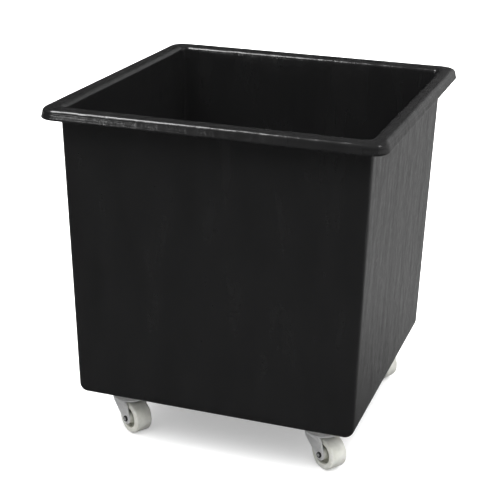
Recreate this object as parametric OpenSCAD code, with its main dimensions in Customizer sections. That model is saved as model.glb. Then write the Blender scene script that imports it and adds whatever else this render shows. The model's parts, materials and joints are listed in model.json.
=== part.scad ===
// Wheeled container truck: a deep, nearly square plastic tub with a rolled rim, on four swivel castors.
// Millimetres. +Z is up, +X is the truck's right-hand side and -Y is its front.
// The origin is on the ground, under the middle of the tub.

/* [Tub] */
// Overall width across the rim
overall_width = 500; // [480:1:560]
// Overall depth across the rim
overall_depth = 510; // [490:1:570]
// Overall height from the ground to the top of the rim
overall_height = 526; // [400:1:640]
// Thickness of the walls and of the rim
wall = 4.5; // [3.5:0.1:5.5]
// Thickness of the floor
floor_thickness = 5; // [4:0.1:6]
// How far a wall leans outwards for each millimetre of height
draft = 0.024; // [0.01:0.001:0.028]
// Outside radius of the upright corners
corner_radius = 14; // [14:0.5:20]
// Outside radius along the bottom edges
bottom_radius = 13; // [9:0.5:13]

/* [Rim] */
// How far the rim stands out from the wall
rim_overhang = 22; // [20:0.5:26]
// Height of the rim's turned-down lip
rim_height = 16.3; // [15:0.1:22]
// How much further out the lip's lower edge stands than its shoulder
rim_flare = 1.7; // [0.5:0.1:3]
// Radius of the rim's outer shoulder
rim_outer_radius = 7.7; // [5:0.1:8]
// Radius of the rim's inner shoulder
rim_inner_radius = 8; // [6:0.5:9]
// Radius of the rim's outside corners, seen from above
rim_corner_radius = 24; // [20:1:30]

/* [Castors] */
// Height of a castor, from the ground to the top of its plate
castor_height = 76.6; // [76:0.1:80]
// Distance of each pivot from the middle of the tub, across its width
pivot_x = 156.5; // [150:0.5:160]
// Distance of each pivot from the middle of the tub, across its depth
pivot_y = 159; // [154:1:164]
// Distance from a castor's pivot to its axle
trail = 17; // [17:0.5:19]
// Rest angle of the front left castor's wheel about its pivot
front_left_turn = -34; // [-180:1:180]
// Rest angle of the front right castor's wheel about its pivot
front_right_turn = -35; // [-180:1:180]
// Rest angle of the rear left castor's wheel about its pivot
rear_left_turn = -30; // [-180:1:180]
// Rest angle of the rear right castor's wheel about its pivot
rear_right_turn = -24; // [-180:1:180]

/* [Castor plate and its bolts] */
// Length of the plate, along the tub's width
plate_length = 77; // [74:1:84]
// Width of the plate, along the tub's depth
plate_width = 67; // [64:1:72]
// Thickness of the plate's sheet steel
plate_thickness = 3; // [2.5:0.1:3]
// Spacing of the bolt holes along the plate's length
hole_spacing_x = 56; // [55:1:60]
// Spacing of the bolt holes along the plate's width
hole_spacing_y = 46; // [45:1:50]
// Diameter of the mounting bolts
bolt_diameter = 6; // [5:1:6]
// Diameter of the washers inside the tub
washer_diameter = 18; // [16:1:20]

/* [Fork] */
// Radius of the fork's round crown
crown_radius = 26; // [25.5:0.5:27]
// Thickness of the fork's sheet steel
fork_sheet = 2.5; // [2:0.1:3]
// Clear width between the fork's two legs
fork_gap = 31; // [31:0.2:31.4]
// Radius of the rounded end of each leg
leg_end_radius = 9; // [7.5:0.5:10]

/* [Wheels] */
// Diameter of a wheel
wheel_diameter = 50; // [46:1:50]
// Width of a wheel's tread
wheel_width = 28; // [24:1:29]
// Radius that rounds each shoulder of the tread
tread_shoulder = 3; // [2:0.5:5]
// Radius of the round recess in each face of a wheel
recess_radius = 16.5; // [14:0.5:18]
// Depth of that recess
recess_depth = 6; // [2:0.5:8]
// Radius of the hub that stands in the recess
hub_radius = 8.5; // [7:0.5:10]
// Diameter of the axle bolts
axle_diameter = 5; // [4:0.5:5]

/* [Hidden] */
$fn = 48;
CORNERS = ["front_left", "front_right", "rear_left", "rear_right"];
CASTOR_PIECES = [
    "top_plate", "mount_bolts", "mount_washers", "mount_nuts", "kingpin", "lower_race",
    "upper_balls", "lower_balls", "fork", "axle_bolt", "axle_nut", "axle_sleeve", "wheel"
];

// Side of the middle that each castor is on, and the turn it stands at
corner_x = [-1, 1, -1, 1];
corner_y = [-1, -1, 1, 1];
corner_turn = [front_left_turn, front_right_turn, rear_left_turn, rear_right_turn];

// A hair of overlap, so that joined shapes fuse
join = 0.5;
// Room around a bolt in its hole
bolt_room = 0.3;
// Room around a shaft that turns in a bore
running_room = 0.05;
// Room around a bearing ball that rolls in a groove
ball_room = 0.1;

// Tub
base_z = castor_height;
floor_z = base_z + floor_thickness;
floor_fillet = bottom_radius - wall;
lip_z = overall_height - rim_height + wall / 2;
rim_outer_centre = [rim_overhang - rim_outer_radius, overall_height - rim_outer_radius];
rim_inner_centre = [rim_inner_radius - wall, overall_height - rim_inner_radius];
half_width = overall_width / 2 - rim_overhang - rim_flare + draft * (overall_height - lip_z);
half_depth = overall_depth / 2 - rim_overhang - rim_flare + draft * (overall_height - lip_z);
smallest_corner = 1;
arc_steps = 6;
corner_steps = 7;

// Castor heights, from the plate down to the kingpin's head
plate_z = castor_height - plate_thickness;
upper_ball_drop = 5.4;
upper_ball_radius = 2.5;
upper_ball_circle = 13.5;
upper_ball_count = 15;
upper_ball_z = plate_z - upper_ball_drop;
boss_above_ball = 1.2;
boss_inner = 8.5;
boss_outer = 18.5;
boss_z = upper_ball_z + boss_above_ball;
race_below_ball = 1.9;
race_step = 0.8;
race_outer = 16.5;
race_inner = 10.5;
race_z = upper_ball_z - race_below_ball;
crown_z = race_z - race_step;
dome_height = 12;
dome_radius = 17.6;
flange_z = crown_z - dome_height;
lower_ball_drop = 1.6;
lower_ball_radius = 2;
lower_ball_circle = 9.5;
lower_ball_count = 12;
lower_ball_z = crown_z - fork_sheet - lower_ball_drop;
lower_race_below_ball = 0.9;
lower_race_radius = 12.6;
lower_race_top = lower_ball_z - lower_race_below_ball;
lower_race_height = 3.6;
lower_race_z = lower_race_top - lower_race_height;
kingpin_radius = 5;
kingpin_head_radius = 8;
kingpin_head_height = 2.8;
kingpin_hole_radius = 6.5;
kingpin_sink = 0.3;

// Fork legs
leg_rear = -18;
leg_front = 15.5;
leg_rear_knee = 42;
leg_front_knee = flange_z - 1;
flare_z = 45;
fork_half = fork_gap / 2 + fork_sheet;
flare_angle = atan2(crown_radius - fork_half, flange_z - flare_z);
flare_sheet = fork_sheet / cos(flare_angle);
leg_steps = 10;

// Fasteners
bolt_radius = bolt_diameter / 2;
cup_head_radius = 6.75;
cup_head_height = 3.3;
washer_thickness = 1.6;
mount_nut_height = 6;
mount_nut_across_flats = 10;
mount_nut_radius = mount_nut_across_flats / sqrt(3);
bolt_end = 1.6;
axle_radius = axle_diameter / 2;
axle_nut_across_flats = 8;
axle_nut_radius = axle_nut_across_flats / sqrt(3);
axle_nut_height = 2.7;
axle_head_height = 3.5;
axle_end = 0.5;
sleeve_thickness = 1.5;
sleeve_radius = axle_radius + sleeve_thickness;
wheel_radius = wheel_diameter / 2;
hub_end_room = 0.5;
hub_half = fork_gap / 2 - hub_end_room;
recess_draft = 1;
plate_corner_radius = 6;
plate_corner_steps = 5;
shoulder_steps = 5;

// Facets around small and large round shapes
groove_facets = 32;
ball_facets = 24;
wheel_facets = 96;

// Points along an arc in the plane
function arc(centre, radius, from, to, steps) = [
    for (i = [0 : steps])
        let (angle = from + (to - from) * i / steps)
        [centre.x + radius * cos(angle), centre.y + radius * sin(angle)]
];

// Outline of a rectangle with round corners
function rounded_rectangle(half_x, half_y, radius, steps) =
    let (x = half_x - radius, y = half_y - radius)
    concat(
        arc([x, y], radius, 0, 90, steps),
        arc([-x, y], radius, 90, 180, steps),
        arc([-x, -y], radius, 180, 270, steps),
        arc([x, -y], radius, 270, 360, steps)
    );

// Angle, about a circle's centre, of the point where a line from a place outside just touches the circle
function touch_angle(centre, radius, place, side) =
    atan2(place.y - centre.y, place.x - centre.x) + side * acos(radius / norm(place - centre));

// The tub's section as [distance outside the wall's outer face, height],
// from the base, up the outside, over the rim and down the inside to the floor.
tub_section = concat(
    [for (p = arc([-bottom_radius, base_z + bottom_radius], bottom_radius, 270, 360, arc_steps)) p],
    [[0, overall_height - wall]],
    [[rim_overhang - wall, overall_height - wall]],
    arc([rim_overhang + rim_flare - wall / 2, lip_z], wall / 2, 180, 360, arc_steps),
    arc(rim_outer_centre, rim_outer_radius, 0, 90, arc_steps),
    arc(rim_inner_centre, rim_inner_radius, 90, 180, arc_steps),
    arc([-wall - floor_fillet, floor_z + floor_fillet], floor_fillet, 0, -90, arc_steps)
);

// Corner radius in plan: wider towards the rim's lip, and following the wall's thickness inwards
function plan_radius(outside) =
    outside > 0
        ? corner_radius + outside * (rim_corner_radius - corner_radius) / (rim_overhang + rim_flare)
        : max(smallest_corner, corner_radius + outside);

// One level ring of the tub's surface
function tub_ring(station) =
    let (outside = station.x, lean = draft * (overall_height - station.y))
    [
        for (p = rounded_rectangle(
            half_width - lean + outside,
            half_depth - lean + outside,
            plan_radius(outside),
            corner_steps
        ))
        [p.x, p.y, station.y]
    ];

// Puts a shape at each of a plate's four bolt places
module at_bolts() {
    for (x = [-1, 1], y = [-1, 1])
        translate([x * hole_spacing_x / 2, y * hole_spacing_y / 2, 0])
            children();
}

// Puts a shape under one corner of the tub, square with the tub
module at_pivot(corner) {
    translate([corner_x[corner] * pivot_x, corner_y[corner] * pivot_y, 0])
        children();
}

// Puts a shape under one corner, turned with the castor, whose wheel trails along its own +X
module at_swivel(corner) {
    at_pivot(corner)
        rotate(corner_turn[corner])
            children();
}

// Puts a shape, made along +Z, on the axle's line, with +Z towards the castor's -Y side
module on_axle() {
    translate([trail, 0, wheel_radius])
        rotate([90, 0, 0])
            children();
}

// A ring with a square section
module ring(inner, outer, low, high) {
    difference() {
        translate([0, 0, low])
            cylinder(r = outer, h = high - low);
        translate([0, 0, low - join])
            cylinder(r = inner, h = high - low + 2 * join);
    }
}

// The round-bottomed groove that a circle of balls runs in, as a shape to cut away
module ball_groove(circle_radius, height, radius) {
    translate([0, 0, height])
        rotate_extrude()
            translate([circle_radius, 0])
                circle(r = radius, $fn = groove_facets);
}

// A circle of separate bearing balls
module ball_circle(count, circle_radius, height, radius) {
    for (i = [0 : count - 1])
        rotate(360 * i / count)
            translate([circle_radius, 0, height])
                sphere(r = radius, $fn = ball_facets);
}

// The moulded tub, one shell with its rolled rim, drilled for the castors' bolts
module tub() {
    rings = [for (station = tub_section) tub_ring(station)];
    around = len(rings[0]);
    last = len(rings) - 1;
    color([0.1, 0.1, 0.11])
        difference() {
            polyhedron(
                points = [for (r = rings) each r],
                faces = concat(
                    [[for (i = [0 : around - 1]) i]],
                    [
                        for (level = [0 : last - 1], i = [0 : around - 1])
                            let (next = (i + 1) % around)
                            [
                                level * around + i,
                                (level + 1) * around + i,
                                (level + 1) * around + next,
                                level * around + next
                            ]
                    ],
                    [[for (i = [around - 1 : -1 : 0]) last * around + i]]
                ),
                convexity = 8
            );
            for (corner = [0 : len(CORNERS) - 1])
                at_pivot(corner)
                    at_bolts()
                        translate([0, 0, base_z - join])
                            cylinder(r = bolt_radius + bolt_room, h = floor_thickness + 2 * join);
        }
}

// Steel plate that bolts under the tub, with the raised seat that the upper balls run in
module top_plate() {
    color([0.78, 0.79, 0.8])
        difference() {
            union() {
                translate([0, 0, plate_z])
                    linear_extrude(plate_thickness)
                        polygon(rounded_rectangle(
                            plate_length / 2,
                            plate_width / 2,
                            plate_corner_radius,
                            plate_corner_steps
                        ));
                ring(boss_inner, boss_outer, boss_z, plate_z + join);
            }
            ball_groove(upper_ball_circle, upper_ball_z, upper_ball_radius + ball_room);
            translate([0, 0, plate_z - join])
                cylinder(r = kingpin_radius + running_room, h = plate_thickness + 2 * join);
            at_bolts()
                translate([0, 0, plate_z - join])
                    cylinder(r = bolt_radius + bolt_room, h = plate_thickness + 2 * join);
        }
}

// Four cup-headed bolts, dropped through the tub's floor from inside
module mount_bolts() {
    head_z = floor_z + washer_thickness;
    dome_radius = (pow(cup_head_radius, 2) + pow(cup_head_height, 2)) / (2 * cup_head_height);
    shank_z = plate_z - mount_nut_height - bolt_end;
    color([0.72, 0.73, 0.74])
        at_bolts() {
            intersection() {
                translate([0, 0, head_z])
                    cylinder(r = cup_head_radius + join, h = cup_head_height + join);
                translate([0, 0, head_z + cup_head_height - dome_radius])
                    sphere(r = dome_radius);
            }
            translate([0, 0, shank_z])
                cylinder(r = bolt_radius, h = head_z + join - shank_z);
        }
}

// Four wide washers that spread the bolts' load on the plastic floor
module mount_washers() {
    color([0.75, 0.76, 0.77])
        at_bolts()
            ring(bolt_radius + bolt_room, washer_diameter / 2, floor_z, floor_z + washer_thickness);
}

// Four hexagon nuts under the plate
module mount_nuts() {
    color([0.7, 0.71, 0.72])
        at_bolts()
            difference() {
                translate([0, 0, plate_z - mount_nut_height])
                    cylinder(r = mount_nut_radius, h = mount_nut_height, $fn = 6);
                translate([0, 0, plate_z - mount_nut_height - join])
                    cylinder(r = bolt_radius + running_room, h = mount_nut_height + 2 * join);
            }
}

// Headed pin riveted into the plate, which carries the swivel's two ball races
module kingpin() {
    color([0.6, 0.61, 0.63])
        union() {
            translate([0, 0, lower_race_z - kingpin_head_height])
                cylinder(r = kingpin_head_radius, h = kingpin_head_height);
            translate([0, 0, lower_race_z - join])
                cylinder(r = kingpin_radius, h = castor_height - kingpin_sink - lower_race_z + join);
        }
}

// Grooved washer on the kingpin that the lower balls run on
module lower_race() {
    color([0.66, 0.67, 0.69])
        difference() {
            ring(kingpin_radius + running_room, lower_race_radius, lower_race_z, lower_race_top);
            ball_groove(lower_ball_circle, lower_ball_z, lower_ball_radius + ball_room);
        }
}

// Balls between the plate and the fork's crown
module upper_balls() {
    color([0.85, 0.86, 0.88])
        ball_circle(upper_ball_count, upper_ball_circle, upper_ball_z, upper_ball_radius);
}

// Balls between the fork's crown and the lower race
module lower_balls() {
    color([0.85, 0.86, 0.88])
        ball_circle(lower_ball_count, lower_ball_circle, lower_ball_z, lower_ball_radius);
}

// Outline of one fork leg, seen from the side, as [distance ahead of the pivot, height]
function leg_outline() =
    let (
        end = [trail, wheel_radius],
        front_knee = [leg_front, leg_front_knee],
        rear_knee = [leg_rear, leg_rear_knee],
        front_touch = touch_angle(end, leg_end_radius, front_knee, -1),
        rear_touch = touch_angle(end, leg_end_radius, rear_knee, 1) - 360
    )
    concat(
        [
            rear_knee,
            [leg_rear, flange_z + join],
            [leg_front, flange_z + join],
            front_knee
        ],
        arc(end, leg_end_radius, front_touch, rear_touch, leg_steps)
    );

// Block under the crown: upright below a height, then flaring out, but no further than a cylinder
module flared_block(half, low, top_half, radius) {
    translate([-crown_radius - trail, -half, -join])
        cube([2 * (crown_radius + trail), 2 * half, low + join]);
    intersection() {
        cylinder(r = radius, h = flange_z + join);
        rotate([90, 0, 90])
            linear_extrude(2 * crown_radius, center = true)
                polygon([
                    [-half, low - join],
                    [-half, low],
                    [-top_half, flange_z],
                    [-top_half, flange_z + join],
                    [top_half, flange_z + join],
                    [top_half, flange_z],
                    [half, low],
                    [half, low - join]
                ]);
    }
}

// The fork's two legs, which flare out at the top to meet the round crown
module legs() {
    inner_low = flare_z + (flange_z - flare_z) * (flare_sheet - fork_sheet) / (crown_radius - fork_half);
    intersection() {
        rotate([90, 0, 0])
            linear_extrude(2 * crown_radius, center = true)
                polygon(leg_outline());
        difference() {
            flared_block(fork_half, flare_z, crown_radius, crown_radius);
            flared_block(fork_gap / 2, inner_low, crown_radius - flare_sheet, crown_radius - fork_sheet);
        }
    }
}

// Pressed steel fork: a round crown with a raised dome, and two legs that bend down to the axle
module fork() {
    color([0.8, 0.81, 0.82])
        difference() {
            union() {
                ring(kingpin_hole_radius, dome_radius, crown_z - fork_sheet, crown_z);
                ring(race_inner, race_outer, crown_z - join, race_z);
                ring(dome_radius - fork_sheet, dome_radius, flange_z, crown_z - join);
                ring(dome_radius - join, crown_radius, flange_z, flange_z + fork_sheet);
                legs();
            }
            ball_groove(upper_ball_circle, upper_ball_z, upper_ball_radius + running_room);
            ball_groove(lower_ball_circle, lower_ball_z, lower_ball_radius + running_room);
            on_axle()
                cylinder(r = axle_radius + ball_room, h = 2 * fork_gap, center = true);
        }
}

// Hexagon-headed bolt that is the wheel's axle
module axle_bolt() {
    reach = fork_gap / 2 + fork_sheet;
    color([0.6, 0.61, 0.62])
        on_axle()
            union() {
                translate([0, 0, -reach - axle_head_height])
                    cylinder(r = axle_nut_radius, h = axle_head_height, $fn = 6);
                translate([0, 0, -reach - join])
                    cylinder(r = axle_radius, h = 2 * reach + join + axle_nut_height + axle_end);
            }
}

// Hexagon nut on the axle bolt's end
module axle_nut() {
    color([0.35, 0.36, 0.37])
        on_axle()
            translate([0, 0, fork_gap / 2 + fork_sheet])
                difference() {
                    cylinder(r = axle_nut_radius, h = axle_nut_height, $fn = 6);
                    translate([0, 0, -join])
                        cylinder(r = axle_radius + running_room, h = axle_nut_height + 2 * join);
                }
}

// Steel tube clamped between the fork's legs, which the wheel turns on
module axle_sleeve() {
    half = fork_gap / 2 - running_room;
    color([0.7, 0.71, 0.73])
        on_axle()
            ring(axle_radius + ball_room, sleeve_radius, -half, half);
}

// Solid nylon wheel with a rounded tread, a recess in each face and a hub that stands out of it
module wheel() {
    half = wheel_width / 2;
    floor_half = half - recess_depth;
    bore = sleeve_radius + running_room;
    face = [
        [bore, hub_half],
        [hub_radius, hub_half],
        [hub_radius + recess_draft, floor_half],
        [recess_radius - recess_draft, floor_half],
        [recess_radius, half]
    ];
    shoulder_centre = [wheel_radius - tread_shoulder, half - tread_shoulder];
    shoulder = arc(shoulder_centre, tread_shoulder, 90, 0, shoulder_steps);
    upper = concat(face, shoulder);
    lower = [for (i = [len(upper) - 1 : -1 : 0]) [upper[i].x, -upper[i].y]];
    color([0.9, 0.9, 0.86])
        on_axle()
            rotate_extrude($fn = wheel_facets)
                polygon(concat(upper, lower));
}

tub();
for (corner = [0 : len(CORNERS) - 1]) {
    name = CORNERS[corner];
    at_pivot(corner) top_plate();
    at_pivot(corner) mount_bolts();
    at_pivot(corner) mount_washers();
    at_pivot(corner) mount_nuts();
    at_pivot(corner) kingpin();
    at_pivot(corner) lower_race();
    at_swivel(corner) upper_balls();
    at_swivel(corner) lower_balls();
    at_swivel(corner) fork();
    at_swivel(corner) axle_bolt();
    at_swivel(corner) axle_nut();
    at_swivel(corner) axle_sleeve();
    at_swivel(corner) wheel();
}
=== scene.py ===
"""Looks of a wheeled container truck: a black moulded tub on four zinc and nylon swivel castors."""
import json
import math

import bmesh
import bpy
from mathutils import Matrix, Vector, noise


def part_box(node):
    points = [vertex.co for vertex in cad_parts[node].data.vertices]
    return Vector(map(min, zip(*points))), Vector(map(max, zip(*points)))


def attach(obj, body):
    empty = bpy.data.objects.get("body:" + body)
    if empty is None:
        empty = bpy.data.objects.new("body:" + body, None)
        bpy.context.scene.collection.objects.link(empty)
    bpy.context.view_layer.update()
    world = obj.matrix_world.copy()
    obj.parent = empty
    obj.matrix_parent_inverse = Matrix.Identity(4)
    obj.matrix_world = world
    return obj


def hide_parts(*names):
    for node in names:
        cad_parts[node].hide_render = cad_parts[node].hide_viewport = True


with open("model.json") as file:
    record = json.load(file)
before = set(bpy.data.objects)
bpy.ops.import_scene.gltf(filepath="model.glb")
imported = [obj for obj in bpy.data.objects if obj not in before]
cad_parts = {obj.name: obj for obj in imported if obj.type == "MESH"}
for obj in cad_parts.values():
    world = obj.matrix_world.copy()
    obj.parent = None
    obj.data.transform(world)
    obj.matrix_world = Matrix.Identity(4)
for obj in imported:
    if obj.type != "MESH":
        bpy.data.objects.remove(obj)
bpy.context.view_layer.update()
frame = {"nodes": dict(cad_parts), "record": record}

MM = 0.001
CORNERS = ("front_left", "front_right", "rear_left", "rear_right")
JOINTS = {joint["name"]: joint for joint in frame["record"]["behaviour"]["joints"]}

# The tub's section, in metres
WALL = 4.5 * MM
FLOOR = 5 * MM
DRAFT = 0.024
CORNER_RADIUS = 14 * MM
BOTTOM_RADIUS = 13 * MM
SMALLEST_CORNER = 1 * MM
RIM_OVERHANG = 22 * MM
RIM_HEIGHT = 16.3 * MM
RIM_FLARE = 1.7 * MM
RIM_OUTER_RADIUS = 7.7 * MM
RIM_INNER_RADIUS = 8 * MM
RIM_CORNER_RADIUS = 24 * MM
CHANNEL_FILLET = 2.5 * MM

# How uneven the tub is: the walls bow in and wave, and the rim ripples and dips
WALL_BOW = 1.3 * MM
WALL_WAVE = 0.35 * MM
RIM_RIPPLE = 0.22 * MM
WAVES_ACROSS = 11
WAVES_UP = 5
RIPPLES = 45
DIPS = 40
DIP_LAYER = 7.0
NEAR_SIDE = 0.9

# The castors
TRAIL = 17 * MM
SHEET = 2.5 * MM
FORK_GAP = 31 * MM
FORK_OUTSIDE = FORK_GAP / 2 + SHEET
CROWN_RADIUS = 26 * MM
DOME_RADIUS = 17.6 * MM
FLANGE_Z = 53.5 * MM
CROWN_Z = 65.5 * MM
RACE_Z = 66.3 * MM
LEG_REAR = -18 * MM
LEG_FRONT = 15.5 * MM
LEG_REAR_KNEE = 42 * MM
FLARE_Z = 45 * MM
FLARE_ANGLE = math.atan2(CROWN_RADIUS - FORK_OUTSIDE, FLANGE_Z - FLARE_Z)
LEG_END_RADIUS = 9 * MM
LEG_FILLET = 1.5 * MM
DOME_SHOULDER = 1.1 * MM
UPPER_BALLS = (13.5 * MM, 68.2 * MM)
LOWER_BALLS = (9.5 * MM, 61.4 * MM)
UPPER_GROOVE = 2.55 * MM
LOWER_GROOVE = 2.05 * MM
RACE_INNER = 10.5 * MM
RACE_OUTER = 16.5 * MM
KINGPIN_HOLE = 6.5 * MM
FORK_SOFTENING = 0.35 * MM
AXLE_RADIUS = 2.5 * MM
WHEEL_RADIUS = 25 * MM
WHEEL_HALF_WIDTH = 14 * MM
WHEEL_BORE = 4.05 * MM
TREAD_SHOULDER = 3 * MM
HUB_HALF_LENGTH = 15 * MM
HUB_RADIUS = 8.5 * MM
HUB_FOOT = 9.5 * MM
RECESS_DEPTH = 6 * MM
RECESS_FOOT = 15.5 * MM
RECESS_RADIUS = 16.4 * MM
RECESS_FILLET = 1 * MM
RECESS_EDGE = 0.8 * MM
# Depth over which the painted shade in each wheel recess fades in
RECESS_SHADE_DEPTH = 4 * MM
AXLE_HEX = 8 * MM
AXLE_HEAD_HEIGHT = 3.5 * MM
AXLE_NUT_HEIGHT = 2.7 * MM
AXLE_END = 0.5 * MM

# What holds the castors to the tub
PLATE_HALF_X = 38.5 * MM
PLATE_HALF_Y = 33.5 * MM
PLATE_CORNER = 6 * MM
PLATE_THICKNESS = 3 * MM
PLATE_EDGE = 0.8 * MM
PLATE_HOLE = 5.05 * MM
SEAT_Z = 69.4 * MM
SEAT_GROOVE = 2.6 * MM
SEAT_RADIUS = 18.5 * MM
SEAT_HOLE = 8.5 * MM
BOLT_PLACES = [(x * 28 * MM, y * 23 * MM) for x in (-1, 1) for y in (-1, 1)]
BOLT_RADIUS = 3 * MM
BOLT_END_Z = 66 * MM
CUP_RADIUS = 6.75 * MM
CUP_HEIGHT = 3.3 * MM
WASHER_RADIUS = 9 * MM
WASHER_HOLE = 3.3 * MM
WASHER_HEIGHT = 1.6 * MM
WASHER_EDGE = 0.3 * MM
MOUNT_NUT_HEX = 10 * MM
MOUNT_NUT_DROP = 9 * MM
MOUNT_NUT_HEIGHT = 6 * MM
MOUNT_NUT_BORE = 3.05 * MM
MOUNT_NUT_TURN = 0.4

# The axes of a flat outline that is drawn out across a castor, and along it
ACROSS = Matrix(((0, 0, 1, 0), (1, 0, 0, 0), (0, 1, 0, 0), (0, 0, 0, 1)))
ALONG = Matrix(((1, 0, 0, 0), (0, 0, 1, 0), (0, 1, 0, 0), (0, 0, 0, 1)))


# ---------------------------------------------------------------- shapes

def arc(centre, radius, start, end, steps):
    """Points along an arc in the plane, with angles in degrees."""
    points = []
    for i in range(steps + 1):
        angle = math.radians(start + (end - start) * i / steps)
        points.append((centre[0] + radius * math.cos(angle), centre[1] + radius * math.sin(angle)))
    return points


def line(start, end, steps):
    """Points along a straight line, without its two ends."""
    return [
        (start[0] + (end[0] - start[0]) * i / steps, start[1] + (end[1] - start[1]) * i / steps)
        for i in range(1, steps)
    ]


def new_mesh(name, points, faces):
    """A mesh with its faces turned outwards."""
    mesh = bpy.data.meshes.new(name)
    mesh.from_pydata(points, [], faces)
    shape = bmesh.new()
    shape.from_mesh(mesh)
    bmesh.ops.remove_doubles(shape, verts=shape.verts, dist=1e-7)
    bmesh.ops.recalc_face_normals(shape, faces=shape.faces)
    shape.to_mesh(mesh)
    shape.free()
    return mesh


def loops_mesh(name, loops, closed_ring=False):
    """A skin over a row of equally long loops. Its two ends are capped, or joined in a ring."""
    around = len(loops[0])
    points = [point for loop in loops for point in loop]
    faces = []
    rows = len(loops) if closed_ring else len(loops) - 1
    for row in range(rows):
        below = row * around
        above = (row + 1) % len(loops) * around
        for i in range(around):
            after = (i + 1) % around
            faces.append((below + i, below + after, above + after, above + i))
    if not closed_ring:
        faces.append(tuple(range(around)))
        faces.append(tuple(range(len(points) - around, len(points))))
    return new_mesh(name, points, faces)


def lathe(name, outline, steps):
    """An outline of (radius, height) turned about Z. It closes on the axis if its ends lie there."""
    ring = outline[0][0] > 0
    loops = []
    for i in range(steps):
        turn = 2 * math.pi * i / steps
        loops.append([(r * math.cos(turn), r * math.sin(turn), z) for r, z in outline])
    if ring:
        return loops_mesh(name, loops, closed_ring=True)
    points = [point for loop in loops for point in loop]
    count = len(outline)
    faces = []
    for i in range(steps):
        here = i * count
        there = (i + 1) % steps * count
        for j in range(count - 1):
            faces.append((here + j, there + j, there + j + 1, here + j + 1))
    return new_mesh(name, points, faces)


def prism(name, outline, low, high, place=Matrix()):
    """A flat outline drawn out along Z, then put in place."""
    loops = [[place @ Vector((x, y, z)) for x, y in outline] for z in (low, high)]
    return loops_mesh(name, loops)


def applied(thing):
    """Puts an object's modifiers into its mesh."""
    graph = bpy.context.evaluated_depsgraph_get()
    mesh = bpy.data.meshes.new_from_object(thing.evaluated_get(graph))
    thing.modifiers.clear()
    thing.data = mesh
    return thing


def scratch(mesh):
    """A passing object that holds a mesh."""
    thing = bpy.data.objects.new("scratch", mesh)
    bpy.context.scene.collection.objects.link(thing)
    return thing


def boolean(first, second, operation):
    """A mesh joined with, cut by or kept inside another."""
    a = scratch(first)
    b = scratch(second)
    cut = a.modifiers.new("boolean", "BOOLEAN")
    cut.operation = operation
    cut.solver = "EXACT"
    cut.object = b
    mesh = applied(a).data
    bpy.data.objects.remove(a)
    bpy.data.objects.remove(b)
    return mesh


def softened(mesh, width, segments=2, limit=35):
    """A mesh with its sharp edges rounded."""
    thing = scratch(mesh)
    bevel = thing.modifiers.new("bevel", "BEVEL")
    bevel.width = width
    bevel.segments = segments
    bevel.limit_method = "ANGLE"
    bevel.angle_limit = math.radians(limit)
    bevel.use_clamp_overlap = True
    result = applied(thing).data
    bpy.data.objects.remove(thing)
    return result


def smooth(mesh, limit=35):
    """Smooth shading, except across edges sharper than the limit."""
    mesh.polygons.foreach_set("use_smooth", [True] * len(mesh.polygons))
    mesh.set_sharp_from_angle(angle=math.radians(limit))
    return mesh


# ---------------------------------------------------------------- materials

class Surface:
    """A procedural material, with short ways to add its nodes. Lengths are in metres."""

    def __init__(self, name, roughness, metallic=0.0, specular=0.5, ior=1.5):
        self.material = bpy.data.materials.new(name)
        self.material.use_nodes = True
        self.nodes = self.material.node_tree.nodes
        self.links = self.material.node_tree.links
        self.shader = self.nodes["Principled BSDF"]
        self.shader.inputs["Metallic"].default_value = metallic
        self.shader.inputs["Roughness"].default_value = roughness
        self.shader.inputs["Specular IOR Level"].default_value = specular
        self.shader.inputs["IOR"].default_value = ior
        self.place = self.nodes.new("ShaderNodeTexCoord").outputs["Object"]

    def noise(self, size, detail=2.0, rough=0.5, stretch=(1, 1, 1)):
        """Noise with features of about this size. A stretch above 1 draws them out along that axis."""
        mapping = self.nodes.new("ShaderNodeMapping")
        mapping.inputs["Scale"].default_value = [1 / (size * s) for s in stretch]
        self.links.new(self.place, mapping.inputs["Vector"])
        texture = self.nodes.new("ShaderNodeTexNoise")
        texture.inputs["Scale"].default_value = 1.0
        texture.inputs["Detail"].default_value = detail
        texture.inputs["Roughness"].default_value = rough
        self.links.new(mapping.outputs["Vector"], texture.inputs["Vector"])
        return texture.outputs["Fac"]

    def spread(self, value, low, high, start=0.3, end=0.7):
        """A value's middle stretch, spread over low to high."""
        spread = self.nodes.new("ShaderNodeMapRange")
        spread.inputs["From Min"].default_value = start
        spread.inputs["From Max"].default_value = end
        spread.inputs["To Min"].default_value = low
        spread.inputs["To Max"].default_value = high
        self.links.new(value, spread.inputs["Value"])
        return spread.outputs["Result"]

    def math(self, operation, a, b):
        """Arithmetic on two values."""
        node = self.nodes.new("ShaderNodeMath")
        node.operation = operation
        for socket, value in zip(node.inputs, (a, b)):
            if isinstance(value, (int, float)):
                socket.default_value = value
            else:
                self.links.new(value, socket)
        return node.outputs["Value"]

    def colour(self, value, dark, light):
        """The base colour, from dark to light with a value from 0 to 1."""
        ramp = self.nodes.new("ShaderNodeValToRGB")
        ramp.color_ramp.elements[0].color = (*dark, 1)
        ramp.color_ramp.elements[1].color = (*light, 1)
        self.links.new(value, ramp.inputs["Fac"])
        self.links.new(ramp.outputs["Color"], self.shader.inputs["Base Color"])

    def roughness(self, value):
        """The roughness, from a value."""
        self.links.new(value, self.shader.inputs["Roughness"])

    def bump(self, *layers):
        """Relief made of layers of (height from 0 to 1, depth)."""
        normal = None
        for height, depth in layers:
            bump = self.nodes.new("ShaderNodeBump")
            bump.inputs["Strength"].default_value = 1.0
            bump.inputs["Distance"].default_value = depth
            self.links.new(height, bump.inputs["Height"])
            if normal is not None:
                self.links.new(normal, bump.inputs["Normal"])
            normal = bump.outputs["Normal"]
        self.links.new(normal, self.shader.inputs["Normal"])


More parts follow.
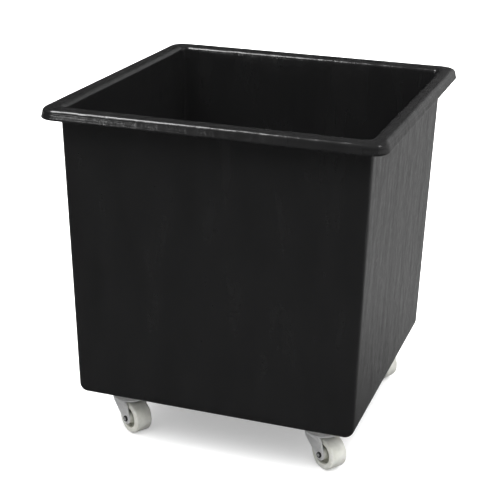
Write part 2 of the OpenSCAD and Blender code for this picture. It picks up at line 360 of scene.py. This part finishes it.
def tub_plastic():
    """Black moulded polyethylene: satin, with orange peel and faint soft mottling down the walls."""
    surface = Surface("tub_plastic", roughness=0.25, specular=0.42)
    mottle = surface.noise(30 * MM, detail=3, stretch=(1, 1, 4))
    surface.colour(surface.spread(mottle, 0, 1), (0.0100, 0.0100, 0.0102), (0.0126, 0.0126, 0.0128))
    surface.roughness(surface.spread(surface.noise(11 * MM, detail=4), 0.17, 0.26))
    surface.bump(
        (surface.noise(26 * MM, detail=1, stretch=(1, 1, 3)), 1.3 * MM),
        (surface.noise(8 * MM, detail=1), 0.30 * MM),
        (surface.noise(3.4 * MM, detail=2), 0.16 * MM),
    )
    return surface.material


def nylon():
    """Natural off-white nylon, semi-gloss and slightly translucent, with painted olive shade in its
    recesses.
    """
    surface = Surface("nylon", roughness=0.33, specular=0.5, ior=1.53)
    clean = surface.spread(surface.noise(9 * MM, detail=4), 0.80, 1.0)
    # Painted shade: the wheel recesses are darkened towards olive, standing in for the shadow that falls
    # in them
    recess_shade = surface.nodes.new("ShaderNodeAttribute")
    recess_shade.attribute_name = "recess_shade"
    patches = surface.spread(surface.noise(5 * MM), 0.55, 0.80)
    recess_darkening = surface.math("MULTIPLY", recess_shade.outputs["Fac"], patches)
    surface.colour(surface.math("SUBTRACT", clean, recess_darkening), (0.15, 0.155, 0.09), (0.80, 0.80, 0.75))
    surface.roughness(surface.spread(surface.noise(3 * MM, detail=4), 0.27, 0.42))
    surface.bump(
        (surface.noise(7 * MM, detail=1), 0.10 * MM),
        (surface.noise(0.6 * MM, detail=2), 0.006 * MM),
    )
    surface.shader.inputs["Subsurface Weight"].default_value = 0.15
    surface.shader.inputs["Subsurface Radius"].default_value = (1.0, 0.95, 0.7)
    surface.shader.inputs["Subsurface Scale"].default_value = 2 * MM
    return surface.material


def zinc(name, dark, light, low, high):
    """Bright zinc plate on steel, with cloudy passivation and fine drawing marks."""
    surface = Surface(name, roughness=(low + high) / 2, metallic=0.4)
    surface.colour(surface.spread(surface.noise(6 * MM, detail=5, rough=0.6), 0, 1), dark, light)
    surface.roughness(surface.spread(surface.noise(1.6 * MM, detail=4), low, high))
    surface.bump(
        (surface.noise(5 * MM, detail=2), 0.03 * MM),
        (surface.noise(0.5 * MM, detail=2), 0.005 * MM),
    )
    return surface.material


def steel(name, dark, light, low, high, depth):
    """Bare or dulled steel, with fine scratches and a thin uneven film of grease."""
    surface = Surface(name, roughness=(low + high) / 2, metallic=1.0)
    film = surface.noise(2.5 * MM, detail=4, rough=0.6)
    surface.colour(surface.spread(film, 0, 1), dark, light)
    surface.roughness(surface.spread(film, low, high))
    surface.bump((surface.noise(0.4 * MM, detail=3, stretch=(3, 3, 1)), depth))
    return surface.material


MATERIALS = {
    "tub_plastic": tub_plastic(),
    "nylon": nylon(),
    "fork_zinc": zinc("fork_zinc", (0.78, 0.78, 0.78), (0.88, 0.88, 0.88), 0.34, 0.46),
    "zinc_plate": zinc("zinc_plate", (0.68, 0.68, 0.68), (0.80, 0.80, 0.79), 0.32, 0.44),
    "zinc_fastener": zinc("zinc_fastener", (0.50, 0.50, 0.51), (0.66, 0.66, 0.66), 0.22, 0.36),
    "nut_steel": steel("nut_steel", (0.05, 0.05, 0.052), (0.13, 0.13, 0.13), 0.38, 0.55, 0.01 * MM),
    "race_steel": steel("race_steel", (0.34, 0.34, 0.35), (0.52, 0.52, 0.53), 0.22, 0.38, 0.004 * MM),
    "ball_steel": steel("ball_steel", (0.60, 0.60, 0.62), (0.74, 0.74, 0.76), 0.08, 0.16, 0.001 * MM),
}


def piece(name, node, mesh, slot_name, body):
    """A finished piece that stands for one CAD node."""
    thing = bpy.data.objects.new(name, mesh)
    bpy.context.scene.collection.objects.link(thing)
    mesh.materials.clear()
    mesh.materials.append(MATERIALS[slot_name])
    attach(thing, body)
    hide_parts(node)
    return thing


# ---------------------------------------------------------------- tub

def rounded_rectangle(half_x, half_y, radius, corner_steps, side_steps):
    """A level outline with round corners and evenly spaced points along its sides."""
    x = half_x - radius
    y = half_y - radius
    corners = ((x, y), (-x, y), (-x, -y), (x, -y))
    arcs = [
        arc(corner, radius, 90 * i, 90 * i + 90, corner_steps)
        for i, corner in enumerate(corners)
    ]
    outline = []
    for i, points in enumerate(arcs):
        outline += points
        outline += line(points[-1], arcs[(i + 1) % 4][0], side_steps)
    return outline


def tub_section(base, top):
    """The tub's section as (distance outside the wall's outer face, height), from base to floor."""
    lip = top - RIM_HEIGHT + WALL / 2
    under = top - WALL
    floor_radius = BOTTOM_RADIUS - WALL
    fillet = CHANNEL_FILLET
    inner_lip = RIM_OVERHANG - WALL
    outer = RIM_OUTER_RADIUS
    inner = RIM_INNER_RADIUS
    section = arc((-BOTTOM_RADIUS, base + BOTTOM_RADIUS), BOTTOM_RADIUS, 270, 360, 10)
    section += line(section[-1], (0, under - fillet), 34)
    section += arc((fillet, under - fillet), fillet, 180, 90, 4)
    section += line(section[-1], (inner_lip - fillet, under), 3)
    section += arc((inner_lip - fillet, under - fillet), fillet, 90, 0, 4)
    section += line(section[-1], (inner_lip + RIM_FLARE, lip), 3)
    section += arc((RIM_OVERHANG + RIM_FLARE - WALL / 2, lip), WALL / 2, 180, 360, 8)
    section += line(section[-1], (RIM_OVERHANG, top - outer), 3)
    section += arc((RIM_OVERHANG - outer, top - outer), outer, 0, 90, 12)
    section += line(section[-1], (inner - WALL, top), 5)
    section += arc((inner - WALL, top - inner), inner, 90, 180, 12)
    section += line(section[-1], (-WALL, base + FLOOR + floor_radius), 34)
    section += arc((-WALL - floor_radius, base + FLOOR + floor_radius), floor_radius, 0, -90, 8)
    return section


def plan_radius(outside):
    """Corner radius in plan: wider towards the lip, and following the wall's thickness inwards."""
    if outside > 0:
        spread = (RIM_CORNER_RADIUS - CORNER_RADIUS) / (RIM_OVERHANG + RIM_FLARE)
        return CORNER_RADIUS + outside * spread
    return max(SMALLEST_CORNER, CORNER_RADIUS + outside)


def unevenness(x, y, z, across, upwards):
    """Smooth noise from 0 to 1 at a place, with how quickly it changes across and upwards."""
    return 0.5 + 0.5 * noise.noise(Vector((x * across, y * across, z * upwards)))


def moved_in(x, y, z, outside, swell, half_x, half_y):
    """Where a point of the outer skin lies: the walls bow and wave inwards, and the rim ripples."""
    if outside <= 0:
        push = WALL_BOW * swell + WALL_WAVE * unevenness(x, y, z, WAVES_ACROSS, WAVES_UP) * swell
        share_x = max(0.0, 1 - (y / half_y) ** 2)
        share_y = max(0.0, 1 - (x / half_x) ** 2)
    else:
        push = RIM_RIPPLE * unevenness(x, y, z, RIPPLES, RIPPLES)
        share_x = share_y = 1
    side_x = math.copysign(1, x) if abs(x) > half_x * NEAR_SIDE else 0
    side_y = math.copysign(1, y) if abs(y) > half_y * NEAR_SIDE else 0
    return x - side_x * push * share_x, y - side_y * push * share_y


def tub_loop(outside, z, base, top, half_x, half_y):
    """One level loop of the tub's skin, at a distance outside the wall and a height."""
    corner_steps, side_steps = 10, 60
    x_there = half_x - DRAFT * (top - z) + outside
    y_there = half_y - DRAFT * (top - z) + outside
    up = max(0.0, min(1.0, (z - base) / (top - RIM_HEIGHT - base)))
    swell = math.sin(math.pi * up)
    on_outer_skin = outside > -WALL - 0.1 * MM
    on_land = z > top - WALL and outside > -WALL
    loop = []
    for x, y in rounded_rectangle(x_there, y_there, plan_radius(outside), corner_steps, side_steps):
        if on_outer_skin:
            x, y = moved_in(x, y, z, outside, swell, half_x, half_y)
        dip = RIM_RIPPLE * unevenness(x, y, DIP_LAYER, DIPS, 1) if on_land else 0
        loop.append((x, y, z - dip))
    return loop


def tub_mesh():
    """The tub, with walls that bow in a little and the faint waves that moulded plastic has."""
    low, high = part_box("tub")
    base, top = low.z, high.z
    lip = top - RIM_HEIGHT + WALL / 2
    lean_at_lip = DRAFT * (top - lip)
    half_x = high.x - RIM_OVERHANG - RIM_FLARE + lean_at_lip
    half_y = high.y - RIM_OVERHANG - RIM_FLARE + lean_at_lip
    loops = [tub_loop(outside, z, base, top, half_x, half_y) for outside, z in tub_section(base, top)]
    # Both faces of the floor are closed with ever smaller loops.
    shares = [0.97, 0.9, 0.75, 0.5, 0.25, 0.02]
    under = [[(x * share, y * share, z) for x, y, z in loops[0]] for share in reversed(shares)]
    inside = [[(x * share, y * share, z) for x, y, z in loops[-1]] for share in shares]
    return smooth(loops_mesh("tub", under + loops + inside), 60)


# ---------------------------------------------------------------- castors

def touch_angle(centre, radius, place, side):
    """Angle about a circle's centre of the point where a line from a place outside just touches it."""
    away_x = place[0] - centre[0]
    away_y = place[1] - centre[1]
    turn = math.acos(radius / math.hypot(away_x, away_y))
    return math.degrees(math.atan2(away_y, away_x) + side * turn)


def round_outline(radius, steps, centre=(0, 0)):
    """Evenly spaced points on a circle."""
    return arc(centre, radius, 0, 360, steps)[:-1]


def leg_side_outline(reach, above):
    """The fork's side view: two knees and a round end, below a crown left wide for the next cut."""
    end = (TRAIL, WHEEL_RADIUS)
    rear_knee = (LEG_REAR, LEG_REAR_KNEE)
    front_knee = (LEG_FRONT, FLANGE_Z - 1 * MM)
    under = FLANGE_Z - 0.05 * MM
    round_end = arc(
        end, LEG_END_RADIUS,
        touch_angle(end, LEG_END_RADIUS, rear_knee, 1) - 360,
        touch_angle(end, LEG_END_RADIUS, front_knee, -1), 24,
    )
    rear_fillet = arc((LEG_REAR - LEG_FILLET, under - LEG_FILLET), LEG_FILLET, 90, 0, 5)
    return (
        [(-reach, above), (-reach, under)] + rear_fillet + [rear_knee] + round_end
        + [front_knee, (LEG_FRONT + 0.7 * MM, under), (reach, under), (reach, above)]
    )


def flared_block(half, low, edge, radius, bend):
    """The room between two upright faces that flare out, above a height, to a round crown's edge."""
    spare = 5 * MM
    reach = CROWN_RADIUS + spare
    turn = math.degrees(FLARE_ANGLE)
    centre = (half + bend, low - bend * math.tan(FLARE_ANGLE / 2))
    right = [(half, -spare)] + arc(centre, bend, 180, 180 - turn, 6) + edge
    section = right + [(-y, z) for y, z in reversed(right)]
    block = prism("block", section, -reach, reach, ACROSS)
    disc = prism("disc", round_outline(radius, 96), low - 0.1 * MM, FLANGE_Z + spare)
    square = [(-reach, -reach), (reach, -reach), (reach, reach), (-reach, reach)]
    room = prism("room", square, -2 * spare, low)
    return boolean(block, boolean(disc, room, "UNION"), "INTERSECT")


def dome_outline():
    """Half of the crown's raised dome, with the two grooves that its balls run in."""
    inside = DOME_RADIUS - SHEET
    under = CROWN_Z - SHEET
    lead = 0.2 * MM
    fillet = 1 * MM
    outline = [(DOME_RADIUS, FLANGE_Z)]
    outline += arc((DOME_RADIUS - DOME_SHOULDER, CROWN_Z - DOME_SHOULDER), DOME_SHOULDER, 0, 90, 5)
    outline += [(RACE_OUTER, RACE_Z - lead), (RACE_OUTER - lead, RACE_Z)]
    outline += arc(UPPER_BALLS, UPPER_GROOVE, 312, 228, 8)
    outline += [(RACE_INNER + lead, RACE_Z), (RACE_INNER, RACE_Z - lead), (RACE_INNER, CROWN_Z)]
    outline += [(KINGPIN_HOLE, CROWN_Z), (KINGPIN_HOLE, under)]
    outline += arc(LOWER_BALLS, LOWER_GROOVE, 129, 51, 6)
    outline += arc((inside - fillet, under - fillet), fillet, 90, 0, 4)
    return outline + [(inside, FLANGE_Z)]


def fork_mesh():
    """Pressed fork: two legs that flare out to a round crown, whose dome carries the ball grooves."""
    spare = 5 * MM
    reach = CROWN_RADIUS + spare
    top = FLANGE_Z + SHEET
    thick = SHEET / math.cos(FLARE_ANGLE)
    inner_low = FLARE_Z + (thick - SHEET) / math.tan(FLARE_ANGLE)
    bend = 2 * MM
    outer_edge = [(CROWN_RADIUS, FLANGE_Z), (CROWN_RADIUS, top)]
    inner_edge = [(CROWN_RADIUS - thick, FLANGE_Z)]
    outer = flared_block(FORK_OUTSIDE, FLARE_Z, outer_edge, CROWN_RADIUS, bend)
    inner = flared_block(FORK_GAP / 2, inner_low, inner_edge, CROWN_RADIUS - SHEET, bend + SHEET)
    shape = boolean(outer, inner, "DIFFERENCE")
    legs = prism("legs", leg_side_outline(reach, top + spare), -reach, reach, ALONG)
    shape = boolean(shape, legs, "INTERSECT")
    core = round_outline(DOME_RADIUS - SHEET, 64)
    shape = boolean(shape, prism("core", core, FLANGE_Z - spare, top + spare), "DIFFERENCE")
    shape = boolean(shape, lathe("dome", dome_outline(), 96), "UNION")
    hole = round_outline(AXLE_RADIUS + 0.1 * MM, 32, (TRAIL, WHEEL_RADIUS))
    shape = boolean(shape, prism("hole", hole, -reach, reach, ALONG), "DIFFERENCE")
    return smooth(softened(shape, FORK_SOFTENING))


def wheel_face():
    """Half of the wheel's outline, from its bore out over the hub and the recess to the tread."""
    half = WHEEL_HALF_WIDTH
    floor = half - RECESS_DEPTH
    lead = 0.4 * MM
    hub_edge = 0.5 * MM
    foot = floor + RECESS_FILLET
    face = [(WHEEL_BORE, HUB_HALF_LENGTH - lead), (WHEEL_BORE + lead, HUB_HALF_LENGTH)]
    face += arc((HUB_RADIUS - hub_edge, HUB_HALF_LENGTH - hub_edge), hub_edge, 90, 8, 4)
    face += arc((HUB_FOOT + RECESS_FILLET, foot), RECESS_FILLET, 188, 270, 5)
    face += arc((RECESS_FOOT - RECESS_FILLET, foot), RECESS_FILLET, 270, 352, 5)
    face += arc((RECESS_RADIUS + RECESS_EDGE, half - RECESS_EDGE), RECESS_EDGE, 172, 90, 5)
    face += line(face[-1], (WHEEL_RADIUS - TREAD_SHOULDER, half), 3)
    shoulder = (WHEEL_RADIUS - TREAD_SHOULDER, half - TREAD_SHOULDER)
    return face + arc(shoulder, TREAD_SHOULDER, 90, 0, 12)


def wheel_mesh():
    """Nylon wheel about Z, with painted shade stored in the recess of each face, from 0 to 1."""
    half = WHEEL_HALF_WIDTH
    face = wheel_face()
    tread = line(face[-1], (WHEEL_RADIUS, -half + TREAD_SHOULDER), 8)
    mesh = lathe("wheel", face + tread + [(r, -z) for r, z in reversed(face)], 128)
    # Painted shade: how deep each point sits in a recess, to darken it there
    recess_shade = mesh.attributes.new("recess_shade", "FLOAT", "POINT")
    for vertex, value in zip(mesh.vertices, recess_shade.data):
        depth = half - abs(vertex.co.z)
        sunk = math.hypot(vertex.co.x, vertex.co.y) < RECESS_RADIUS + 0.6 * MM
        value.value = max(0.0, min(1.0, depth / RECESS_SHADE_DEPTH)) if sunk else 0.0
    return smooth(mesh)


def hexagon(name, across_flats, low, high, bore=None):
    """A hexagon nut or bolt head with chamfered corners, and a bore if it has one."""
    radius = across_flats / math.sqrt(3)
    block = prism(name, round_outline(radius, 6), low - 1 * MM, high + 1 * MM)
    chamfer = (radius - across_flats / 2) * 0.75
    drop = chamfer * math.tan(math.radians(30)) * 1.2
    inside = 0 if bore is None else bore
    turned = [
        (inside, low), (radius - chamfer, low), (radius + 0.01 * MM, low + drop),
        (radius + 0.01 * MM, high - drop), (radius - chamfer, high), (inside, high),
    ]
    if bore is not None:
        lead = 0.35 * MM
        turned = [(bore, low + lead), (bore + lead, low)] + turned[1:-1]
        turned += [(bore + lead, high), (bore, high - lead)]
    return boolean(block, lathe("turned", turned, 72), "INTERSECT")


def joined(name, meshes):
    """Several meshes in one."""
    shape = bmesh.new()
    for mesh in meshes:
        shape.from_mesh(mesh)
    result = bpy.data.meshes.new(name)
    shape.to_mesh(result)
    shape.free()
    return result


def moved(mesh, place):
    """A copy of a mesh, put in place."""
    copy = mesh.copy()
    copy.transform(place)
    return copy


def at_bolts(name, mesh, turn_step=0.0):
    """Four copies, one at each of a plate's bolt places, each turned a little further."""
    return smooth(joined(name, [
        moved(mesh, Matrix.Translation((x, y, 0)) @ Matrix.Rotation(turn_step * i, 4, "Z"))
        for i, (x, y) in enumerate(BOLT_PLACES)
    ]))


def plate_mesh(top):
    """Pressed plate with rounded edges and the raised seat that the upper balls run in."""
    low = top - PLATE_THICKNESS
    edge = PLATE_EDGE
    section = arc((-edge, low + edge), edge, 270, 360, 4)
    section += arc((-edge, top - edge), edge, 0, 90, 4)
    loops = []
    for outside, z in section:
        half_x, half_y = PLATE_HALF_X + outside, PLATE_HALF_Y + outside
        outline = rounded_rectangle(half_x, half_y, PLATE_CORNER + outside, 6, 6)
        loops.append([(x, y, z) for x, y in outline])
    lead = 0.3 * MM
    seat = [(SEAT_RADIUS, low + 0.5 * MM)]
    seat += arc((SEAT_RADIUS - edge, SEAT_Z + edge), edge, 0, -90, 4)
    seat += arc(UPPER_BALLS, SEAT_GROOVE, 27.5, 152.5, 10)
    seat += [(SEAT_HOLE + lead, SEAT_Z), (SEAT_HOLE, SEAT_Z + lead), (SEAT_HOLE, low + 0.5 * MM)]
    plate = boolean(loops_mesh("plate", loops), lathe("seat", seat, 96), "UNION")
    hole = prism("hole", round_outline(PLATE_HOLE, 48), low - 1 * MM, top + 1 * MM)
    return smooth(boolean(plate, hole, "DIFFERENCE"))


def shank(radius, low, high):
    """A plain round shank with a chamfered lower end."""
    lead = 0.5 * MM
    outline = [(0, low), (radius - lead, low), (radius, low + lead), (radius, high), (0, high)]
    return lathe("shank", outline, 32)


def mount_bolts_mesh(floor):
    """Four cup-headed bolts."""
    head = floor + WASHER_HEIGHT
    dome = (CUP_RADIUS ** 2 + CUP_HEIGHT ** 2) / (2 * CUP_HEIGHT)
    span = math.degrees(math.asin(CUP_RADIUS / dome))
    cup = [(0, head), (CUP_RADIUS - 0.2 * MM, head)]
    cup += arc((0, head + CUP_HEIGHT - dome), dome, 90 - span, 90, 12)
    cup[-1] = (0, cup[-1][1])
    bolt = joined("bolt", [lathe("cup", cup, 40), shank(BOLT_RADIUS, BOLT_END_Z, head + 0.5 * MM)])
    return at_bolts("mount_bolts", bolt)


def washer_mesh(floor):
    """Four wide washers with rounded rims."""
    high = floor + WASHER_HEIGHT
    edge = WASHER_EDGE
    outline = [(WASHER_HOLE, floor), (WASHER_RADIUS - edge, floor)]
    outline += arc((WASHER_RADIUS - edge, high - edge), edge, 0, 90, 3)
    outline += [(WASHER_HOLE, high)]
    return at_bolts("mount_washers", lathe("washer", outline, 48))


def mount_nuts_mesh(plate_top):
    """Four hexagon nuts, each tightened to a different angle."""
    low = plate_top - MOUNT_NUT_DROP
    nut = hexagon("nut", MOUNT_NUT_HEX, low, low + MOUNT_NUT_HEIGHT, MOUNT_NUT_BORE)
    return at_bolts("mount_nuts", nut, MOUNT_NUT_TURN)


def axle_bolt_mesh():
    """Axle bolt about Z, with its hexagon head below and its chamfered end above."""
    head_top = -FORK_OUTSIDE
    head = hexagon("head", AXLE_HEX, head_top - AXLE_HEAD_HEIGHT, head_top)
    end = FORK_OUTSIDE + AXLE_NUT_HEIGHT + AXLE_END
    lead = 0.5 * MM
    shaft = lathe("shaft", [
        (0, head_top - 0.5 * MM), (AXLE_RADIUS, head_top - 0.5 * MM), (AXLE_RADIUS, end - lead),
        (AXLE_RADIUS - lead, end), (0, end),
    ], 40)
    return smooth(joined("axle_bolt", [head, shaft]))


def axle_nut_mesh():
    """Thin hexagon nut about Z, against the fork's outer face."""
    low = FORK_OUTSIDE
    return smooth(hexagon("nut", AXLE_HEX, low, low + AXLE_NUT_HEIGHT, AXLE_RADIUS + 0.05 * MM))


def castor_frames(corner):
    """A castor's places: at its pivot, turned with its fork, and on its axle with Z along the axle."""
    pivot = Vector(JOINTS[f"{corner}_swivel_turn"]["pos_m"])
    axle = Vector(JOINTS[f"{corner}_wheel_roll"]["pos_m"])
    at_pivot = Matrix.Translation((pivot.x, pivot.y, 0))
    at_swivel = at_pivot @ Matrix.Rotation(math.atan2(axle.y - pivot.y, axle.x - pivot.x), 4, "Z")
    at_axle = at_swivel @ Matrix.Translation((TRAIL, 0, axle.z))
    return at_pivot, at_swivel, at_axle @ Matrix.Rotation(math.pi / 2, 4, "X")


def build_castors():
    """The castors' finished pieces. What they keep of the CAD gets its material only."""
    plate_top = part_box("tub")[0].z
    floor = plate_top + FLOOR
    square = {
        "top_plate": (plate_mesh(plate_top), "zinc_plate"),
        "mount_bolts": (mount_bolts_mesh(floor), "zinc_fastener"),
        "mount_washers": (washer_mesh(floor), "zinc_fastener"),
        "mount_nuts": (mount_nuts_mesh(plate_top), "zinc_fastener"),
    }
    turned = {"fork": (fork_mesh(), "fork_zinc")}
    on_axle = {
        "axle_bolt": (axle_bolt_mesh(), "zinc_fastener"),
        "axle_nut": (axle_nut_mesh(), "nut_steel"),
        "wheel": (wheel_mesh(), "nylon"),
    }
    kept = {
        "kingpin": "race_steel", "lower_race": "race_steel", "axle_sleeve": "race_steel",
        "upper_balls": "ball_steel", "lower_balls": "ball_steel",
    }
    for corner in CORNERS:
        bodies = ("tub", f"{corner}_swivel", f"{corner}_swivel")
        for pieces, place, body in zip((square, turned, on_axle), castor_frames(corner), bodies):
            for node, (mesh, slot_name) in pieces.items():
                name = f"{corner}_{node}"
                rides = f"{corner}_roller" if node == "wheel" else body
                piece(f"{name}_finished", name, moved(mesh, place), slot_name, rides)
        for node, slot_name in kept.items():
            thing = frame["nodes"][f"{corner}_{node}"]
            for slot in thing.material_slots:
                slot.material = MATERIALS[slot_name]


# ---------------------------------------------------------------- studio

LENS = 90.66
SENSOR = 36
CAMERA_AZIMUTH = 0.32875
CAMERA_ELEVATION = 0.36079
CAMERA_ROLL = 0.018433
CAMERA_DISTANCE = 1.9826
CAMERA_SLIDE = (-0.0165, -0.0163)
CAMERA_TARGET = Vector((0, 0, 0.2789))

# Brightness of the soft surroundings, for matt surfaces and for glossy ones
SKY_LOW = 0.40
SKY_HIGH = 6.5
SKY_EDGE = (0.40, 0.95)
GLOSS_TOWARD = (0.86, 0.50, 0.0)
GLOSS_EDGE = (0.25, 0.66)
GLOSS_TOP = (0.36, 0.54)
GLOSS_LOW = 0.05
GLOSS_HIGH = 0.65
GLOSS_ABOVE = 0.30
FLOOR_REACH = 30
FLOOR_COLOUR = 0.8
FLOOR_LIFT = 0.39
FLOOR_BOUNCE = 0.42
FLOOR_GLOSS_LOW = 0.02
FLOOR_GLOSS_HIGH = 0.36
FLOOR_GLOSS_EDGE = (-0.40, 0.60)

# The small lights, as name, place, width, height and radiance, and the point they face
SMALL_LIGHTS = (
    ("high_left", (-0.90, -0.88, 2.0), 0.50, 0.95, 20),
    ("low_left", (-1.15, -2.1, 0.66), 0.35, 0.12, 20),
    ("high_right", (1.13, -0.20, 1.86), 0.16, 0.16, 30),
)
LIGHTS_FACE = (0, -0.25, 0.5)


def build_camera():
    """The camera at the truck's front, a little to its right and above."""
    az, el, roll = CAMERA_AZIMUTH, CAMERA_ELEVATION, CAMERA_ROLL
    back = Vector((math.sin(az) * math.cos(el), -math.cos(az) * math.cos(el), math.sin(el)))
    level = Vector((math.cos(az), math.sin(az), 0))
    up = back.cross(level)
    right = math.cos(roll) * level + math.sin(roll) * up
    above = -math.sin(roll) * level + math.cos(roll) * up
    place = CAMERA_TARGET + back * CAMERA_DISTANCE + right * CAMERA_SLIDE[0] + above * CAMERA_SLIDE[1]
    data = bpy.data.cameras.new("camera")
    data.lens = LENS
    data.sensor_width = SENSOR
    camera = bpy.data.objects.new("camera", data)
    axes = Matrix((right, above, back)).transposed().to_4x4()
    camera.matrix_world = Matrix.Translation(place) @ axes
    bpy.context.scene.collection.objects.link(camera)
    bpy.context.scene.camera = camera


def area_light(name, place, target, width, height, radiance):
    """A rectangular soft light that faces a target, with its radiance given instead of its power."""
    data = bpy.data.lights.new(name, "AREA")
    data.shape = "RECTANGLE"
    data.size = width
    data.size_y = height
    data.energy = radiance * width * height * math.pi
    light = bpy.data.objects.new(name, data)
    light.location = place
    facing = Vector(target) - Vector(place)
    light.rotation_euler = facing.to_track_quat("-Z", "Y").to_euler()
    light.visible_camera = False
    bpy.context.scene.collection.objects.link(light)
    return light


def ramp(tree, value, start, end, low, high):
    """A value's stretch from start to end, spread smoothly over low to high."""
    spread = tree.nodes.new("ShaderNodeMapRange")
    spread.interpolation_type = "SMOOTHSTEP"
    spread.inputs["From Min"].default_value = start
    spread.inputs["From Max"].default_value = end
    spread.inputs["To Min"].default_value = low
    spread.inputs["To Max"].default_value = high
    tree.links.new(value, spread.inputs["Value"])
    return spread.outputs["Result"]


def choose(tree, ray, shader, otherwise, output):
    """Shows one shader to a kind of ray and another to the rest."""
    mix = tree.nodes.new("ShaderNodeMixShader")
    path = tree.nodes.new("ShaderNodeLightPath")
    tree.links.new(path.outputs[ray], mix.inputs[0])
    tree.links.new(otherwise, mix.inputs[1])
    tree.links.new(shader, mix.inputs[2])
    if output is not None:
        tree.links.new(mix.outputs[0], output)
    return mix.outputs[0]


def build_world():
    """A soft sky. Glossy surfaces see it dim in front and on the left, and bright at the right."""
    world = bpy.data.worlds.new("studio")
    bpy.context.scene.world = world
    world.use_nodes = True
    world.cycles.sampling_method = "NONE"
    tree = world.node_tree
    tree.nodes.clear()
    direction = tree.nodes.new("ShaderNodeTexCoord").outputs["Generated"]
    split = tree.nodes.new("ShaderNodeSeparateXYZ")
    tree.links.new(direction, split.inputs[0])
    sky = tree.nodes.new("ShaderNodeBackground")
    tree.links.new(ramp(tree, split.outputs["Z"], *SKY_EDGE, SKY_LOW, SKY_HIGH), sky.inputs["Strength"])
    toward = tree.nodes.new("ShaderNodeVectorMath")
    toward.operation = "DOT_PRODUCT"
    toward.inputs[1].default_value = GLOSS_TOWARD
    tree.links.new(direction, toward.inputs[0])
    side = ramp(tree, toward.outputs["Value"], *GLOSS_EDGE, GLOSS_LOW, GLOSS_HIGH)
    height = ramp(tree, split.outputs["Z"], *GLOSS_TOP, 1.0, GLOSS_ABOVE)
    level = tree.nodes.new("ShaderNodeMath")
    level.operation = "MULTIPLY"
    tree.links.new(side, level.inputs[0])
    tree.links.new(height, level.inputs[1])
    gloss = tree.nodes.new("ShaderNodeBackground")
    tree.links.new(level.outputs["Value"], gloss.inputs["Strength"])
    output = tree.nodes.new("ShaderNodeOutputWorld")
    choose(tree, "Is Glossy Ray", gloss.outputs[0], sky.outputs[0], output.inputs["Surface"])


def build_floor():
    """A pale floor, a little lit from within. Glossy rays see it dim in front of the truck."""
    far = FLOOR_REACH
    corners = [(-far, -far, 0), (far, -far, 0), (far, far, 0), (-far, far, 0)]
    mesh = new_mesh("floor", corners, [(0, 1, 2, 3)])
    floor = bpy.data.objects.new("floor", mesh)
    bpy.context.scene.collection.objects.link(floor)
    material = bpy.data.materials.new("floor")
    material.use_nodes = True
    material.cycles.emission_sampling = "NONE"
    tree = material.node_tree
    tree.nodes.clear()
    matte = tree.nodes.new("ShaderNodeBsdfDiffuse")
    matte.inputs["Color"].default_value = (FLOOR_COLOUR, FLOOR_COLOUR, FLOOR_COLOUR, 1)
    lift = tree.nodes.new("ShaderNodeEmission")
    lift.inputs["Strength"].default_value = FLOOR_LIFT
    dull = tree.nodes.new("ShaderNodeBsdfDiffuse")
    dull.inputs["Color"].default_value = (FLOOR_BOUNCE, FLOOR_BOUNCE, FLOOR_BOUNCE, 1)
    seen = tree.nodes.new("ShaderNodeAddShader")
    tree.links.new(matte.outputs[0], seen.inputs[0])
    tree.links.new(lift.outputs[0], seen.inputs[1])
    mirrored = tree.nodes.new("ShaderNodeEmission")
    split = tree.nodes.new("ShaderNodeSeparateXYZ")
    tree.links.new(tree.nodes.new("ShaderNodeNewGeometry").outputs["Position"], split.inputs[0])
    tree.links.new(
        ramp(tree, split.outputs["Y"], *FLOOR_GLOSS_EDGE, FLOOR_GLOSS_LOW, FLOOR_GLOSS_HIGH),
        mirrored.inputs["Strength"],
    )
    output = tree.nodes.new("ShaderNodeOutputMaterial")
    matt_or_seen = choose(tree, "Is Camera Ray", seen.outputs[0], dull.outputs[0], None)
    choose(tree, "Is Glossy Ray", mirrored.outputs[0], matt_or_seen, output.inputs["Surface"])
    mesh.materials.append(material)


def build_lights():
    """Three small lights that only draw the rim's streaks and the parts' highlights."""
    for name, place, width, height, radiance in SMALL_LIGHTS:
        light = area_light(name, place, LIGHTS_FACE, width, height, radiance)
        light.visible_diffuse = False


build_camera()
piece("tub_finished", "tub", tub_mesh(), "tub_plastic", "tub")
build_castors()
build_world()
build_floor()
build_lights()
bpy.context.scene.view_settings.view_transform = "Standard"
